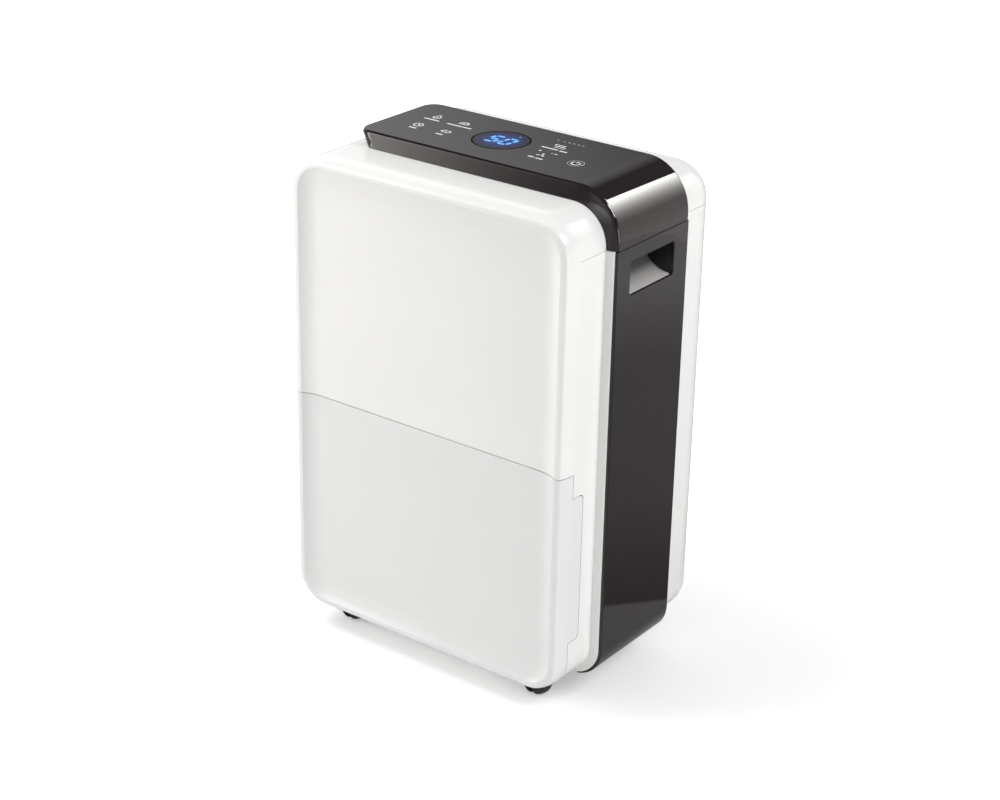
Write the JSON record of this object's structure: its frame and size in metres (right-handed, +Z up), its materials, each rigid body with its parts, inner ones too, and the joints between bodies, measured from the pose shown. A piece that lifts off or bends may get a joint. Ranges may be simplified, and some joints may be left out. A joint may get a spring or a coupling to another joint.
{
  "type": "portable dehumidifier",
  "caption": "Upright portable dehumidifier on casters with a dished white front, pull-out water bucket, black top and side band and a round display.",
  "frame": {"origin": "centre of the footprint on the floor", "axes": "+X to the right seen from the front, +Y to the rear, +Z up"},
  "size_m": [0.35, 0.245, 0.5196],
  "materials": {
    "white_shell": "gloss warm white",
    "bucket_front": "satin cool white",
    "black_panel": "gloss brownish black",
    "handle_cup": "satin black",
    "display_lens": "gloss navy black",
    "tank": "translucent",
    "float": "foam white",
    "inner_grey": "moulded grey",
    "base": "moulded dark grey",
    "caster": "black",
    "rubber": "matt",
    "steel": "zinc plated",
    "compressor": "black paint",
    "motor": "plated",
    "fins": "bare sheet",
    "copper": "bright copper tube",
    "board": "green board",
    "electric": "moulded",
    "filter_frame": "black",
    "filter_mesh": "fine net"
  },
  "bodies": {
    "cabinet": {"base_pan": "base", "front_case": "white_shell", "rear_case": "white_shell", "rear_screws": "steel", "top_cover": "white_shell", "control_panel": "black_panel", "front_panel": "white_shell", "side_panel_left": "black_panel", "side_panel_right": "black_panel", "handle_cup_left": "handle_cup", "handle_cup_right": "handle_cup", "outlet_grille": "black_panel", "intake_grille": "white_shell", "display_lens": "display_lens", "display_housing": "inner_grey", "display_board": "board", "reed_switch": "electric", "bulkhead": "inner_grey", "deck": "inner_grey", "drip_tray": "inner_grey", "drain_spigot": "inner_grey", "evaporator_fins": "fins", "evaporator_tubes": "copper", "condenser_fins": "fins", "condenser_tubes": "copper", "coil_end_plates": "steel", "compressor": "compressor", "compressor_grommets": "rubber", "compressor_bolts": "steel", "discharge_pipe": "copper", "suction_pipe": "copper", "capillary_tube": "copper", "fan_orifice": "inner_grey", "fan_scroll": "inner_grey", "fan_motor": "motor", "motor_bracket": "steel", "control_box": "inner_grey", "control_box_cover": "inner_grey", "main_board": "board", "run_capacitor": "electric", "cord_gland": "rubber"},
    "bucket": {"bucket_front": "bucket_front", "bucket_tank": "tank", "bucket_lid": "tank"},
    "float": {"float_arm": "float", "float_magnet": "steel"},
    "fan": {"fan_wheel": "inner_grey", "motor_shaft": "steel"},
    "filter": {"filter_frame": "filter_frame", "filter_mesh": "filter_mesh"},
    "plug": {"drain_plug": "rubber"},
    "caster_fl": {"caster_yoke_fl": "caster"},
    "wheels_fl": {"caster_wheels_fl": "caster"},
    "caster_fr": {"caster_yoke_fr": "caster"},
    "wheels_fr": {"caster_wheels_fr": "caster"},
    "caster_rl": {"caster_yoke_rl": "caster"},
    "wheels_rl": {"caster_wheels_rl": "caster"},
    "caster_rr": {"caster_yoke_rr": "caster"},
    "wheels_rr": {"caster_wheels_rr": "caster"}
  },
  "joints": [
    {"name": "bucket_slide", "type": "slide", "parent": "cabinet", "child": "bucket", "axis": [0, -1, 0], "range_m": [0, 0.18]},
    {"name": "float_swing", "type": "hinge", "parent": "bucket", "child": "float", "pos_m": [0, -0.038, 0.164], "axis": [-1, 0, 0], "range_deg": [0, 20]},
    {"name": "fan_spin", "type": "hinge", "parent": "cabinet", "child": "fan", "pos_m": [0.01, 0, 0.384], "axis": [0, 1, 0], "continuous": true},
    {"name": "filter_lift", "type": "slide", "parent": "cabinet", "child": "filter", "axis": [0, 0, 1], "range_m": [0, 0.225]},
    {"name": "plug_pull", "type": "slide", "parent": "cabinet", "child": "plug", "axis": [0, 1, 0], "range_m": [0, 0.03]},
    {"name": "swivel_fl", "type": "hinge", "parent": "cabinet", "child": "caster_fl", "pos_m": [-0.117, -0.078, 0.034], "axis": [0, 0, 1], "continuous": true},
    {"name": "roll_fl", "type": "hinge", "parent": "caster_fl", "child": "wheels_fl", "pos_m": [-0.117, -0.086, 0.015], "axis": [1, 0, 0], "continuous": true},
    {"name": "swivel_fr", "type": "hinge", "parent": "cabinet", "child": "caster_fr", "pos_m": [0.117, -0.078, 0.034], "axis": [0, 0, 1], "continuous": true},
    {"name": "roll_fr", "type": "hinge", "parent": "caster_fr", "child": "wheels_fr", "pos_m": [0.117, -0.086, 0.015], "axis": [1, 0, 0], "continuous": true},
    {"name": "swivel_rl", "type": "hinge", "parent": "cabinet", "child": "caster_rl", "pos_m": [-0.117, 0.082, 0.034], "axis": [0, 0, 1], "continuous": true},
    {"name": "roll_rl", "type": "hinge", "parent": "caster_rl", "child": "wheels_rl", "pos_m": [-0.117, 0.074, 0.015], "axis": [1, 0, 0], "continuous": true},
    {"name": "swivel_rr", "type": "hinge", "parent": "cabinet", "child": "caster_rr", "pos_m": [0.117, 0.082, 0.034], "axis": [0, 0, 1], "continuous": true},
    {"name": "roll_rr", "type": "hinge", "parent": "caster_rr", "child": "wheels_rr", "pos_m": [0.117, 0.074, 0.015], "axis": [1, 0, 0], "continuous": true}
  ]
}
